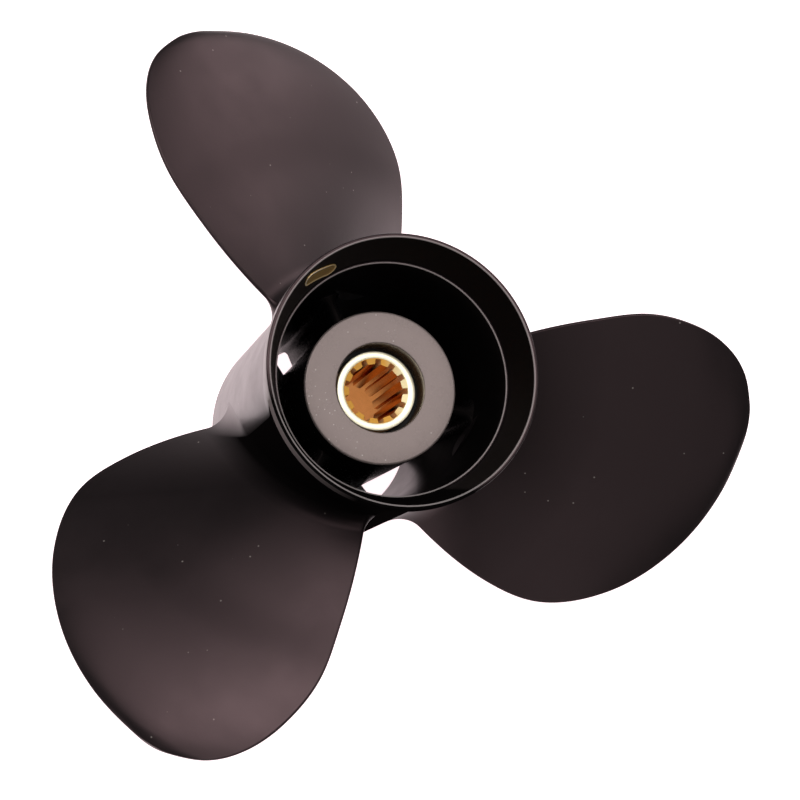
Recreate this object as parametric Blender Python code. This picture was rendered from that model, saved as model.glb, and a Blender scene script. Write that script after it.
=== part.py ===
"""Three-bladed outboard propeller with exhaust through the hub.

Units are metres. +Z points astern, so the part stands on the front end of its
barrel with the open aft mouth upward. The origin is on the shaft line, in the
plane of the barrel's front end. Blade 1 points along +Y.
"""

import math

import bmesh
import bpy

MM = 0.001
GAP = 0.3 * MM

BLADE_COUNT = 3
TIP_RADIUS = 143 * MM

BARREL_LENGTH = 126 * MM
BARREL_RADIUS = 42.8 * MM
FLARE_RADIUS = 45.6 * MM
FLARE_HEIGHT = 20 * MM
FLARE_STEPS = 6
COLLAR_RADIUS = 46.5 * MM
COLLAR_HEIGHT = 4.8 * MM
GROOVE_WIDTH = 0.7 * MM
GROOVE_DEPTH = 0.9 * MM
MOUTH_RADIUS = 45.0 * MM
LEDGE_DEPTH = 15 * MM
LEDGE_WIDTH = 0.9 * MM
LEDGE_BREAK = 0.3 * MM
PASSAGE_RADIUS = 39.9 * MM
PASSAGE_FRONT_RADIUS = 34.5 * MM
EDGE_BREAK = 0.6 * MM
BARREL_SEGMENTS = 96

HUB_RADIUS = 27.0 * MM
HUB_FRONT_RADIUS = 26.0 * MM
HUB_FRONT_Z = 3 * MM
HUB_AFT_Z = 94.5 * MM
HUB_BORE_RADIUS = 15.8 * MM
HUB_BORE_DEPTH = 10 * MM
BUSH_POCKET_RADIUS = 22 * MM
HUB_SEGMENTS = 72

WEB_THICKNESS = 4 * MM
WEB_EDGE_BREAK = 1.2 * MM
WEB_FRONT_Z = 6 * MM
WEB_AFT_Z = 80 * MM
WEB_ANGLE = 85.5

SLEEVE_RADIUS = 14.0 * MM
SLEEVE_BORE_RADIUS = 11.9 * MM
SLEEVE_FRONT_Z = 2 * MM
SLEEVE_AFT_Z = 88.5 * MM
SPLINE_COUNT = 13
SPLINE_ROOT_RADIUS = 11.4 * MM
SPLINE_TIP_RADIUS = 9.6 * MM
SPLINE_FRONT_Z = 46 * MM
SPLINE_PHASE = 7.1
# Places across one spline, as shares of its pitch: the tooth's tip, then its space.
TIP_SHARES = (0.0, 0.14, 0.28, 0.72, 0.86)
SPACE_SHARES = (0.35, 0.45, 0.55, 0.65)

BUSH_FRONT_Z = 6 * MM
BUSH_AFT_Z = 83 * MM

TAG_ANGLE = 342
TAG_TILT = 26
TAG_LENGTH = 15 * MM
TAG_WIDTH = 5.8 * MM
TAG_THICKNESS = 0.5 * MM
TAG_Z = 118 * MM
TAG_STEPS = 14
TAG_END_SHARE = 0.2

# The blade's outline: radius, then angle and height of the trailing edge and
# of the leading edge, in millimetres and degrees, from the root to the tip.
BLADE_OUTLINE = (
    (43, 117, 91.5, 39, 33.5),
    (82, 112.5, 96.4, 45.5, 34.4),
    (102, 110, 99.5, 50.5, 39),
    (119, 106, 99, 59.5, 49.2),
    (131, 102, 96.2, 69.5, 60.7),
    (139, 97.5, 91.9, 80, 72.7),
    (142, 93.5, 87.7, 87, 80.5),
    (143, 90.5, 84.5, 90.5, 84.5),
)
BLADE_SPANS = 20
BLADE_CHORDS = 16
BLADE_TIP_CROWDING = 1.8
BLADE_ROOT_THICKNESS = 9 * MM
BLADE_TIP_THICKNESS = 3 * MM
BLADE_EDGE_THICKNESS = 1.6 * MM
BLADE_HOLLOW = 1.5 * MM
BLADE_WIDE_CHORD = 115 * MM
BLADE_FULL_CHORD = 20 * MM
ROOT_FILLET = 8 * MM
ROOT_FILLET_SPANS = 6
ROOT_CAP_STRIPS = 6

CASTING_COLOUR = (0.035, 0.031, 0.032, 1)
CASTING_ROUGHNESS = 0.45
BRASS_COLOUR = (0.72, 0.50, 0.22, 1)
BRASS_ROUGHNESS = 0.3
RUBBER_COLOUR = (0.02, 0.02, 0.02, 1)
RUBBER_ROUGHNESS = 0.8
FOIL_COLOUR = (0.75, 0.58, 0.30, 1)
FOIL_ROUGHNESS = 0.35

SHARP_DEGREES = 35
BLADE_SHARP_DEGREES = 50


def clear_scene():
    for thing in list(bpy.data.objects):
        bpy.data.objects.remove(thing, do_unlink=True)


def make_material(name, colour, roughness, metallic):
    material = bpy.data.materials.new(name)
    material.use_nodes = True
    shader = material.node_tree.nodes["Principled BSDF"]
    shader.inputs["Base Color"].default_value = colour
    shader.inputs["Roughness"].default_value = roughness
    shader.inputs["Metallic"].default_value = metallic
    return material


def casting_material(name):
    return make_material(name + "_paint", CASTING_COLOUR, CASTING_ROUGHNESS, 0.0)


def finish(name, shape, material, sharp_degrees=SHARP_DEGREES):
    """Turns a bmesh into a named object with its faces pointing out."""
    bmesh.ops.recalc_face_normals(shape, faces=shape.faces)
    mesh = bpy.data.meshes.new(name)
    shape.to_mesh(mesh)
    shape.free()
    mesh.shade_smooth()
    mesh.set_sharp_from_angle(angle=math.radians(sharp_degrees))
    mesh.materials.append(material)
    thing = bpy.data.objects.new(name, mesh)
    bpy.context.collection.objects.link(thing)
    return thing


def on_circle(radius, angle, z):
    return (radius * math.cos(angle), radius * math.sin(angle), z)


def bridge_rings(shape, rings, closed=False):
    """Joins rings of vertices, each ring to the next, with quads."""
    pairs = list(zip(rings, rings[1:]))
    if closed:
        pairs.append((rings[-1], rings[0]))
    for low, high in pairs:
        count = len(low)
        for i in range(count):
            j = (i + 1) % count
            shape.faces.new((low[i], low[j], high[j], high[i]))


def turned_piece(name, profile, segments, material):
    """Turns a closed outline of (radius, z) points about the shaft line."""
    shape = bmesh.new()
    rings = []
    for radius, z in profile:
        ring = []
        for i in range(segments):
            angle = math.tau * i / segments
            ring.append(shape.verts.new(on_circle(radius, angle, z)))
        rings.append(ring)
    bridge_rings(shape, rings, closed=True)
    return finish(name, shape, material)


def mouth_wall_radius(z):
    """The flared wall between the small ledge and the aft rim."""
    ledge_z = BARREL_LENGTH - LEDGE_DEPTH
    share = (z - ledge_z) / LEDGE_DEPTH
    foot = PASSAGE_RADIUS + LEDGE_WIDTH
    return foot + share * (MOUTH_RADIUS - foot)


def passage_radius(z):
    """The exhaust passage narrows evenly from the small ledge to the front."""
    share = z / (BARREL_LENGTH - LEDGE_DEPTH)
    return PASSAGE_FRONT_RADIUS + share * (PASSAGE_RADIUS - PASSAGE_FRONT_RADIUS)


def hub_radius(z):
    """The inner hub is a little wider at its aft end."""
    share = (z - HUB_FRONT_Z) / (HUB_AFT_Z - HUB_FRONT_Z)
    return HUB_FRONT_RADIUS + share * (HUB_RADIUS - HUB_FRONT_RADIUS)


def barrel_flare(aft_z):
    """The outer wall widens smoothly below the collar."""
    points = []
    for i in range(FLARE_STEPS + 1):
        share = i / FLARE_STEPS
        rise = share * share * (3 - 2 * share)
        radius = BARREL_RADIUS + rise * (FLARE_RADIUS - BARREL_RADIUS)
        points.append((radius, aft_z - FLARE_HEIGHT * (1 - share)))
    return points


def make_barrel():
    top = BARREL_LENGTH
    collar_z = top - COLLAR_HEIGHT
    ledge_z = top - LEDGE_DEPTH
    profile = (
        (BARREL_RADIUS - EDGE_BREAK, 0),
        (BARREL_RADIUS, EDGE_BREAK),
        *barrel_flare(collar_z - GROOVE_WIDTH),
        (FLARE_RADIUS - GROOVE_DEPTH, collar_z - 0.5 * GROOVE_WIDTH),
        (COLLAR_RADIUS, collar_z + 0.5 * GROOVE_WIDTH),
        (COLLAR_RADIUS, top - EDGE_BREAK),
        (COLLAR_RADIUS - EDGE_BREAK, top),
        (MOUTH_RADIUS, top),
        (mouth_wall_radius(ledge_z), ledge_z),
        (PASSAGE_RADIUS + LEDGE_BREAK, ledge_z),
        (passage_radius(ledge_z - LEDGE_BREAK), ledge_z - LEDGE_BREAK),
        (passage_radius(EDGE_BREAK), EDGE_BREAK),
        (PASSAGE_FRONT_RADIUS + EDGE_BREAK, 0),
    )
    turned_piece("barrel", profile, BARREL_SEGMENTS, casting_material("barrel"))


def make_inner_hub():
    profile = (
        (HUB_FRONT_RADIUS - EDGE_BREAK, HUB_FRONT_Z),
        (hub_radius(HUB_FRONT_Z + EDGE_BREAK), HUB_FRONT_Z + EDGE_BREAK),
        (hub_radius(HUB_AFT_Z - EDGE_BREAK), HUB_AFT_Z - EDGE_BREAK),
        (HUB_RADIUS - EDGE_BREAK, HUB_AFT_Z),
        (HUB_BORE_RADIUS, HUB_AFT_Z),
        (HUB_BORE_RADIUS, HUB_AFT_Z - HUB_BORE_DEPTH),
        (BUSH_POCKET_RADIUS, HUB_AFT_Z - HUB_BORE_DEPTH),
        (BUSH_POCKET_RADIUS, HUB_FRONT_Z),
    )
    turned_piece("inner_hub", profile, HUB_SEGMENTS, casting_material("inner_hub"))


def make_rubber_bush():
    inner = SLEEVE_RADIUS + GAP
    outer = BUSH_POCKET_RADIUS - GAP
    profile = (
        (inner, BUSH_FRONT_Z),
        (outer, BUSH_FRONT_Z),
        (outer, BUSH_AFT_Z),
        (inner, BUSH_AFT_Z),
    )
    rubber = make_material("rubber", RUBBER_COLOUR, RUBBER_ROUGHNESS, 0.0)
    turned_piece("rubber_bush", profile, HUB_SEGMENTS, rubber)


def make_splined_sleeve():
    """The sleeve's teeth start at a 45 degree chamfer below its aft face."""
    shares = sorted(TIP_SHARES + SPACE_SHARES)

    def ring(z, tip_radius, space_radius):
        points = []
        for tooth in range(SPLINE_COUNT):
            for share in shares:
                angle = math.radians(SPLINE_PHASE) + math.tau * (tooth + share) / SPLINE_COUNT
                radius = tip_radius if share in TIP_SHARES else space_radius
                points.append(shape.verts.new(on_circle(radius, angle, z)))
        return points

    def round_ring(z, radius):
        return ring(z, radius, radius)

    shape = bmesh.new()
    space_z = SLEEVE_AFT_Z - (SLEEVE_BORE_RADIUS - SPLINE_ROOT_RADIUS)
    tooth_z = space_z - (SPLINE_ROOT_RADIUS - SPLINE_TIP_RADIUS)
    rings = (
        round_ring(SLEEVE_FRONT_Z, SLEEVE_RADIUS),
        round_ring(SLEEVE_AFT_Z, SLEEVE_RADIUS),
        round_ring(SLEEVE_AFT_Z, SLEEVE_BORE_RADIUS),
        round_ring(space_z, SPLINE_ROOT_RADIUS),
        ring(tooth_z, SPLINE_TIP_RADIUS, SPLINE_ROOT_RADIUS),
        ring(SPLINE_FRONT_Z, SPLINE_TIP_RADIUS, SPLINE_ROOT_RADIUS),
        round_ring(SPLINE_FRONT_Z, SLEEVE_BORE_RADIUS),
        round_ring(SLEEVE_FRONT_Z, SLEEVE_BORE_RADIUS),
    )
    bridge_rings(shape, rings, closed=True)
    brass = make_material("brass", BRASS_COLOUR, BRASS_ROUGHNESS, 1.0)
    finish("splined_sleeve", shape, brass)


def make_web(number):
    """A flat rib between the inner hub and the barrel, with broken front and aft edges."""
    full = 0.5 * WEB_THICKNESS
    slim = full - WEB_EDGE_BREAK
    levels = (
        (WEB_FRONT_Z, slim),
        (WEB_FRONT_Z + WEB_EDGE_BREAK, full),
        (WEB_AFT_Z - WEB_EDGE_BREAK, full),
        (WEB_AFT_Z, slim),
    )
    turn = math.radians(WEB_ANGLE + 360 / BLADE_COUNT * (number - 1))
    shape = bmesh.new()
    rings = []
    for z, half in levels:
        inner = hub_radius(z) + GAP
        outer = math.sqrt((passage_radius(z) - GAP) ** 2 - half ** 2)
        corners = ((inner, -half), (outer, -half), (outer, half), (inner, half))
        ring = []
        for x, y in corners:
            radius = math.hypot(x, y)
            angle = math.atan2(y, x) + turn
            ring.append(shape.verts.new(on_circle(radius, angle, z)))
        rings.append(ring)
    bridge_rings(shape, rings)
    shape.faces.new(rings[0])
    shape.faces.new(rings[-1])
    name = "web_%d" % number
    finish(name, shape, casting_material(name))


def tip_distance(radius):
    """Grows like the root of the distance to the tip, so edges stay smooth."""
    return math.sqrt(max(0.0, TIP_RADIUS - radius) / TIP_RADIUS)


def outline_value(radius, column):
    """Smooth curve through one column of the outline, by distance to the tip."""
    knots = [tip_distance(row[0] * MM) for row in BLADE_OUTLINE]
    values = [row[column] for row in BLADE_OUTLINE]
    place = tip_distance(radius)
    last = len(knots) - 1
    i = 0
    while i < last - 1 and place < knots[i + 1]:
        i += 1
    width = knots[i + 1] - knots[i]

    def slope(k):
        before = max(k - 1, 0)
        after = min(k + 1, last)
        return (values[after] - values[before]) / (knots[after] - knots[before])

    t = (place - knots[i]) / width
    start = values[i] * (2 * t ** 3 - 3 * t ** 2 + 1)
    end = values[i + 1] * (3 * t ** 2 - 2 * t ** 3)
    leaving = slope(i) * width * (t ** 3 - 2 * t ** 2 + t)
    arriving = slope(i + 1) * width * (t ** 3 - t ** 2)
    return start + end + leaving + arriving


def blade_edges(radius):
    """Both edges at one radius, unrolled: arc length and height in metres."""
    trailing = (
        radius * math.radians(outline_value(radius, 1)),
        outline_value(radius, 2) * MM,
    )
    leading = (
        radius * math.radians(outline_value(radius, 3)),
        outline_value(radius, 4) * MM,
    )
    return trailing, leading


def fillet_offset(radius):
    """How far the root fillet widens the section at this radius."""
    height = radius - BARREL_RADIUS - GAP
    if height >= ROOT_FILLET:
        return 0.0
    return ROOT_FILLET - math.sqrt(ROOT_FILLET ** 2 - (ROOT_FILLET - height) ** 2)


def section_thickness(radius, share):
    """Blade thickness at a share of the chord, thickest near the middle."""
    span = (radius - BARREL_RADIUS) / (TIP_RADIUS - BARREL_RADIUS)
    most = BLADE_ROOT_THICKNESS + span * (BLADE_TIP_THICKNESS - BLADE_ROOT_THICKNESS)
    swell = 4 * share * (1 - share)
    return BLADE_EDGE_THICKNESS + (most - BLADE_EDGE_THICKNESS) * swell


def blade_section(radius):
    """Aft face and back of the section, as two rows of unrolled points."""
    trailing, leading = blade_edges(radius)
    chord = math.hypot(leading[0] - trailing[0], leading[1] - trailing[1])
    along = ((leading[0] - trailing[0]) / chord, (leading[1] - trailing[1]) / chord)
    across = (along[1], -along[0])
    widen = fillet_offset(radius)
    thin = min(1.0, chord / BLADE_FULL_CHORD)
    deepest = BLADE_HOLLOW * (chord / BLADE_WIDE_CHORD) ** 2
    face = []
    back = []
    for i in range(BLADE_CHORDS + 1):
        share = 0.5 - 0.5 * math.cos(math.pi * i / BLADE_CHORDS)
        push = (share - 0.5) * 2 * widen
        reach = share * chord + push
        round_end = math.sqrt(max(0.0, 1 - (2 * share - 1) ** 2))
        hollow = deepest * 4 * share * (1 - share)
        thickness = section_thickness(radius, share) * thin
        swell = widen * round_end
        top = -hollow + swell
        low = top - thickness - 2 * swell
        for row, depth in ((face, top), (back, low)):
            s = trailing[0] + along[0] * reach - across[0] * depth
            z = trailing[1] + along[1] * reach - across[1] * depth
            row.append((s, z))
    return face, back


def blade_radii():
    """Section radii: close together in the fillet and towards the tip."""
    base = BARREL_RADIUS + GAP
    radii = []
    for i in range(ROOT_FILLET_SPANS):
        bend = 0.5 * math.pi * i / ROOT_FILLET_SPANS
        radii.append(base + ROOT_FILLET * (1 - math.cos(bend)))
    first = base + ROOT_FILLET
    for i in range(BLADE_SPANS):
        share = i / BLADE_SPANS
        left = (1 - share) ** BLADE_TIP_CROWDING
        radii.append(TIP_RADIUS - (TIP_RADIUS - first) * left)
    return radii


def section_ring(shape, radius, turn):
    face, back = blade_section(radius)
    loop = face + back[::-1]
    return [shape.verts.new(on_circle(radius, s / radius + turn, z)) for s, z in loop]


def cap_root(shape, ring, radius):
    """Closes the root with strips that follow the barrel's round surface."""
    half = len(ring) // 2
    columns = []
    for i in range(half):
        start = ring[i].co
        end = ring[len(ring) - 1 - i].co
        column = [ring[i]]
        for k in range(1, ROOT_CAP_STRIPS):
            spot = start.lerp(end, k / ROOT_CAP_STRIPS)
            angle = math.atan2(spot.y, spot.x)
            column.append(shape.verts.new(on_circle(radius, angle, spot.z)))
        column.append(ring[len(ring) - 1 - i])
        columns.append(column)
    for left, right in zip(columns, columns[1:]):
        for k in range(ROOT_CAP_STRIPS):
            shape.faces.new((left[k], right[k], right[k + 1], left[k + 1]))
    for column in (columns[0], columns[-1]):
        shape.faces.new(column)


def make_blade(number):
    turn = math.radians(360 / BLADE_COUNT * (number - 1))
    shape = bmesh.new()
    radii = blade_radii()
    rings = [section_ring(shape, radius, turn) for radius in radii]
    bridge_rings(shape, rings)
    tip = rings[-1]
    for i in range(len(tip) // 2 - 1):
        j = len(tip) - 1 - i
        shape.faces.new((tip[i], tip[i + 1], tip[j - 1], tip[j]))
    cap_root(shape, rings[0], radii[0])
    name = "blade_%d" % number
    finish(name, shape, casting_material(name), BLADE_SHARP_DEGREES)


def make_foil_tag():
    """A blank foil tag with round ends, stuck at a slant on the flared mouth wall."""
    half = 0.5 * TAG_LENGTH
    end = 0.5 * TAG_WIDTH
    lean_x = math.cos(math.radians(TAG_TILT))
    lean_z = math.sin(math.radians(TAG_TILT))
    shape = bmesh.new()
    rings = []
    for i in range(TAG_STEPS + 1):
        along = -half * math.cos(math.pi * i / TAG_STEPS)
        over = max(0.0, abs(along) - (half - end))
        height = math.sqrt(max((TAG_END_SHARE * end) ** 2, end ** 2 - over ** 2))
        ring = []
        for lift, rise in ((0, -height), (1, -height), (1, height), (0, height)):
            z = TAG_Z + along * lean_z + rise * lean_x
            wall = mouth_wall_radius(z) - GAP
            angle = math.radians(TAG_ANGLE) + (along * lean_x - rise * lean_z) / wall
            ring.append(shape.verts.new(on_circle(wall - lift * TAG_THICKNESS, angle, z)))
        rings.append(ring)
    bridge_rings(shape, rings)
    shape.faces.new(rings[0])
    shape.faces.new(rings[-1])
    foil = make_material("foil", FOIL_COLOUR, FOIL_ROUGHNESS, 1.0)
    finish("foil_tag", shape, foil)


def main():
    clear_scene()
    make_barrel()
    make_inner_hub()
    make_rubber_bush()
    make_splined_sleeve()
    for number in range(1, BLADE_COUNT + 1):
        make_web(number)
        make_blade(number)
    make_foil_tag()


main()
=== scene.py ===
"""The looks of the three-bladed outboard propeller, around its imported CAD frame.

Units are metres in the CAD's own frame: +Z points astern, and the part stands on
the front end of its barrel at z = 0. Blade 1 points along +Y. Angles are measured from
+X towards +Y.
"""

import math

import bmesh
import bpy
from mathutils import Matrix, Vector


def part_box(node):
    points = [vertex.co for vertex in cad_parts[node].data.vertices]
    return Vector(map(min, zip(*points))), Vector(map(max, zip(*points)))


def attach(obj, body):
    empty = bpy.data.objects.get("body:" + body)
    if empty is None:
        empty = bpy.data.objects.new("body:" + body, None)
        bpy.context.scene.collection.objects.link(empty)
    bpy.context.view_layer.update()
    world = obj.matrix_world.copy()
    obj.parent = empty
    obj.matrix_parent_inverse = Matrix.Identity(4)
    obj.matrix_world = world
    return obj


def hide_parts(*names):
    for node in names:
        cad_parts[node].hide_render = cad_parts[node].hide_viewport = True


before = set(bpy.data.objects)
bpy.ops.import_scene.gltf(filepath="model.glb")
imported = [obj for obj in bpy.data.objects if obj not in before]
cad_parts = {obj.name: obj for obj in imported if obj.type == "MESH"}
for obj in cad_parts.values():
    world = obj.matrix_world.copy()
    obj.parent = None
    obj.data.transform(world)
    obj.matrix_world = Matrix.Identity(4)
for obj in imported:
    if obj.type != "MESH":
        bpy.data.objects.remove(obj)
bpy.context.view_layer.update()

MM = 0.001
BODY = "root"
BLADE_COUNT = 3
BLADE_STEP = math.tau / BLADE_COUNT

# The frame gives the sizes that every piece hangs on.
BARREL_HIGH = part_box("barrel")[1]
HUB_LOW, HUB_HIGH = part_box("inner_hub")
SLEEVE_LOW, SLEEVE_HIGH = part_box("splined_sleeve")
BUSH_LOW, BUSH_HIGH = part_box("rubber_bush")
WEB_LOW, WEB_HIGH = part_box("web_1")

BARREL_LENGTH = BARREL_HIGH.z
COLLAR_RADIUS = BARREL_HIGH.x
BARREL_RADIUS = 42.8 * MM
FLARE_RADIUS = 45.6 * MM
FLARE_HEIGHT = 20 * MM
COLLAR_HEIGHT = 4.8 * MM
GROOVE_WIDTH = 0.7 * MM
GROOVE_DEPTH = 0.9 * MM
GROOVE_SLANT = 0.15 * MM
MOUTH_RADIUS = 45.0 * MM
LEDGE_DEPTH = 15 * MM
LEDGE_WIDTH = 0.9 * MM
PASSAGE_RADIUS = 39.9 * MM
PASSAGE_FRONT_RADIUS = 34.5 * MM

HUB_RADIUS = HUB_HIGH.x
HUB_FRONT_RADIUS = 26.0 * MM
HUB_BORE_RADIUS = 15.8 * MM
HUB_BORE_DEPTH = 10 * MM
BUSH_POCKET_RADIUS = 22 * MM

WEB_THICKNESS = 4 * MM
WEB_ANGLE = math.radians(85.5)
WEB_FILLET = 3 * MM
WEB_EDGE_ROUND = 1.9 * MM
WEB_ROOT_DEPTH = 0.5 * MM

SLEEVE_RADIUS = SLEEVE_HIGH.x
SLEEVE_BORE_RADIUS = 11.9 * MM
SPLINE_COUNT = 13
SPLINE_ROOT_RADIUS = 11.4 * MM
SPLINE_TIP_RADIUS = 9.6 * MM
SPLINE_FRONT_Z = 46 * MM
SPLINE_PHASE = math.radians(7.1)
SPLINE_POINTS = 32
SPACE_HALF = 0.15
SPLINE_FLANK = 0.07
SPLINE_CROWN = 0.25 * MM
SPLINE_START_RINGS = 7
CHAMFER_SLOPE = 0.38
SLEEVE_EASE = 0.15 * MM

TIP_RADIUS = 143 * MM
# Radius, then angle and height of the trailing edge and of the leading edge, in
# millimetres and degrees, from the blade's root to its tip.
BLADE_OUTLINE = (
    (43, 117, 91.5, 39, 33.5),
    (82, 112.5, 96.4, 45.5, 34.4),
    (102, 110, 99.5, 50.5, 39),
    (119, 106, 99, 59.5, 49.2),
    (131, 102, 96.2, 69.5, 60.7),
    (139, 97.5, 91.9, 80, 72.7),
    (142, 93.5, 87.7, 87, 80.5),
    (143, 90.5, 84.5, 90.5, 84.5),
)
TRAILING_COLUMN = 1
LEADING_COLUMN = 3
BLADE_ROOT_THICKNESS = 9 * MM
BLADE_TIP_THICKNESS = 3 * MM
BLADE_EDGE_THICKNESS = 1.6 * MM
BLADE_HOLLOW = 1.5 * MM
BLADE_WIDE_CHORD = 115 * MM
BLADE_FULL_CHORD = 70 * MM
ROOT_FILLET = 8 * MM
FILLET_SPANS = 20
BLADE_SPANS = 84
BLADE_CHORDS = 72
EDGE_STEPS = 9
ROOT_SINK = 0.4 * MM
# At the tip the section's two edges meet, so its chord and its slant are given.
SHORTEST_CHORD = 0.02 * MM
TIP_SLANT = Vector((-0.7, -0.7))
FINEST_EDGE = 0.01 * MM
WIDEST_EDGE = 0.45
MERGE_DISTANCE = 0.01 * MM

BARREL_SEGMENTS = 288
HUB_SEGMENTS = 240
BUSH_SEGMENTS = 192

TAG_LENGTH = 15 * MM
TAG_WIDTH = 5.8 * MM
TAG_ANGLE = math.radians(342)
TAG_TILT = math.radians(26)
TAG_Z = 118 * MM
TAG_THICKNESS = 0.35 * MM
TAG_CLEARANCE = 0.05 * MM
TAG_BORDER = 0.55 * MM
TAG_FIELD_DROP = 0.45
TAG_END_REACH = 0.02 * MM
TAG_COLUMNS = 60
TAG_ROWS = 20

# Looks. Colours are linear, and a pair of them is mixed by a noise or a mask. A noise
# is given by its scale, detail and roughness. An angle is a direction from the shaft
# line, and an edge is a pair of distances from it between which a mask fades.
NOISE_RANGE = (0.3, 0.7)
# Places of the Mix node's colour sockets, as it has more sockets of the same names.
MIX_FACTOR = 0
MIX_COLOURS = (6, 7)
MIX_RESULT = 2
# How far a mask reaches past the surface that it marks.
MASK_SLACK = 0.1 * MM

PAINT_TONES = ((0.010, 0.0078, 0.0084), (0.014, 0.0110, 0.0114))
PAINT_TINT = (1.0, 0.66, 0.69, 1.0)
PAINT_GLOSS = 0.5
PAINT_ROUGHNESS = (0.30, 0.37)
PAINT_CLOUD = (28, 4)
PAINT_GRAIN = (70, 5, 0.6)
PAINT_WAVE = (120, 2)
WAVE_DEPTH = 0.02 * MM
ORANGE_PEEL = (900, 2)
PEEL_DEPTH = 0.012 * MM
# Scale, size of a speck in its cell, and share of the cells that hold one.
PAINT_SPECKS = (230, 0.085, 0.22)
PAINT_SPECK_COLOUR = (0.22, 0.195, 0.18)

# Painted shade, a near-black colour, covers one side of the barrel and the blades' roots
# there with no gloss, and the passages' walls with little gloss. A loss is what the
# blades' gloss drops by: near the barrel, and more on one side of blade 1.
PAINTED_SHADE_COLOUR = (0.003, 0.0025, 0.0025)
PAINTED_SHADE_ANGLE = math.radians(100)
PAINTED_SHADE_EDGE = (18 * MM, 28 * MM)
PASSAGE_GLOSS = 0.085
ROOT_BLEND = (44.5 * MM, 52 * MM)
ROOT_DULL_EDGE = (52 * MM, 86 * MM)
BLADE_ROOT_LOSS = 0.28
DULL_BLADE_ANGLE = math.radians(78)
DULL_BLADE_EDGE = (24 * MM, 32 * MM)
BLADE_DULL_SIDE_ANGLE = math.radians(125)
BLADE_DULL_SIDE_EDGE = (30 * MM, 62 * MM)
BLADE_SIDE_LOSS = 0.46

# A painted sheen: lighter grey on one side of the collar's outer wall.
COLLAR_SHEEN_COLOUR = (0.170, 0.145, 0.142)
COLLAR_SHEEN_ANGLE = math.radians(45)
COLLAR_SHEEN_EDGE = (25 * MM, 46 * MM)
# Lighter grey on the aft rim and the ledge's edge: partly dust, partly a painted highlight.
EDGE_DUST_AND_HIGHLIGHT_COLOUR = (0.230, 0.205, 0.200)
PALE_RIM_DEPTH = 0.3 * MM
PALE_RIM_WIDTH = 0.45 * MM
PALE_LEDGE_DEPTH = 0.25 * MM

# The face's light grey is partly dust and partly painted sheen, the sides' near-black in the
# passages is painted shade, and the bore's brown is a painted reflection of the brass.
HUB_FACE_DUST_AND_SHEEN_TONES = ((0.130, 0.102, 0.096), (0.200, 0.163, 0.153))
HUB_SIDE_SHADE_COLOUR = (0.006, 0.005, 0.005)
HUB_BORE_REFLECTION_COLOUR = (0.060, 0.036, 0.022)
HUB_TINT = (1.0, 0.80, 0.76, 1.0)
# In the passages, then on the face and in the bore.
HUB_GLOSSES = (0.02, 0.9)
HUB_ROUGHNESS = (0.22, 0.30)
HUB_GRAIN = (260, 5, 0.7)
FACE_DUST_AND_SHEEN_DEPTH = 1.0 * MM
DUST_ANGLE = math.radians(75)
DUST_EDGE = (8 * MM, 24 * MM)
HUB_SPECK_SCALE = 600
HUB_SPECK_SIZE = 0.16
HUB_SPECK_SHARES = (0.06, 0.9)
HUB_SPECK_COLOUR = (0.62, 0.58, 0.55)

BRASS_TONES = ((0.64, 0.35, 0.16), (0.46, 0.22, 0.09))
# The chamfers' gold, then the cream of a painted highlight on one side of them.
GOLD_AND_HIGHLIGHT_TONES = ((1.0, 0.50, 0.09), (1.0, 0.84, 0.48))
# Painted light: lighter orange in the slots between the teeth near the aft end.
SLOT_LIGHT_COLOUR = (1.0, 0.60, 0.28)
END_RING_COLOUR = (0.97, 0.90, 0.68)
BRASS_TINT = (0.95, 0.68, 0.42, 1.0)
BRASS_ROUGHNESS = (0.12, 0.22)
BRASS_CLOUD = (160, 3)
BRASS_STREAKS = (900, 3, 0.6)
STREAK_STRETCH = (1.0, 1.0, 0.02)
STREAK_DEPTH = 0.004 * MM
# Side of the chamfers' painted highlight, and the edge over which it fades in.
CHAMFER_HIGHLIGHT_SIDE = math.radians(218)
CHAMFER_HIGHLIGHT_EDGE = (4 * MM, 9 * MM)
SLOT_REACH = 14 * MM
SLOT_CLEAR = 5 * MM
SLOT_STRENGTH = 0.85
DULL_METAL = 0.15
DULL_ROUGHNESS = 0.40

RUBBER_TONES = ((0.012, 0.012, 0.012), (0.030, 0.029, 0.028))
RUBBER_ROUGHNESS = (0.6, 0.8)
RUBBER_CLOUD = (150, 4)
RUBBER_GRAIN = (700, 3)
RUBBER_DEPTH = 0.03 * MM

FOIL_TONES = ((0.42, 0.25, 0.07), (0.62, 0.40, 0.13))
# The border's gold, then the near-white of a painted highlight towards the tag's upper end.
FOIL_BORDER_AND_HIGHLIGHT_TONES = ((0.80, 0.58, 0.28), (1.0, 0.93, 0.80))
FOIL_ROUGHNESS = (0.30, 0.42)
# On the tag's field, then on its border.
FOIL_METAL = (0.6, 0.1)
FOIL_CLOUD = (400, 4)
FOIL_GRAIN = (1500, 2)
FOIL_DEPTH = 0.015 * MM
TAG_BORDER_LIFT = (0.29 * MM, 0.35 * MM)
# Height over which the border's painted highlight fades in.
TAG_HIGHLIGHT_REACH = 4 * MM

FLOOR_REACH = 3.0
FLOOR_TONES = ((0.90, 0.89, 0.89), (0.92, 0.91, 0.91))
FLOOR_CLOUD = (3, 2)
FLOOR_ROUGHNESS = 0.7
FLOOR_GLOW = 1.2
FLOOR_GLOW_COLOUR = (1.0, 0.82, 0.85, 1.0)
# The pool of light on the floor: its two axes' angles and centres, and its edge.
GLOW_AXES = ((math.radians(218), 33 * MM), (math.radians(308), 14 * MM))
GLOW_EDGE = (0.18, 0.45)
# Direction and half-width of the two gaps that show the lit floor through the passages.
LEFT_WINDOW = (math.radians(330.5), math.radians(5))
LOWER_WINDOW = (math.radians(179), math.radians(17))
PASSAGE_RIM = 1.5 * MM
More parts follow.
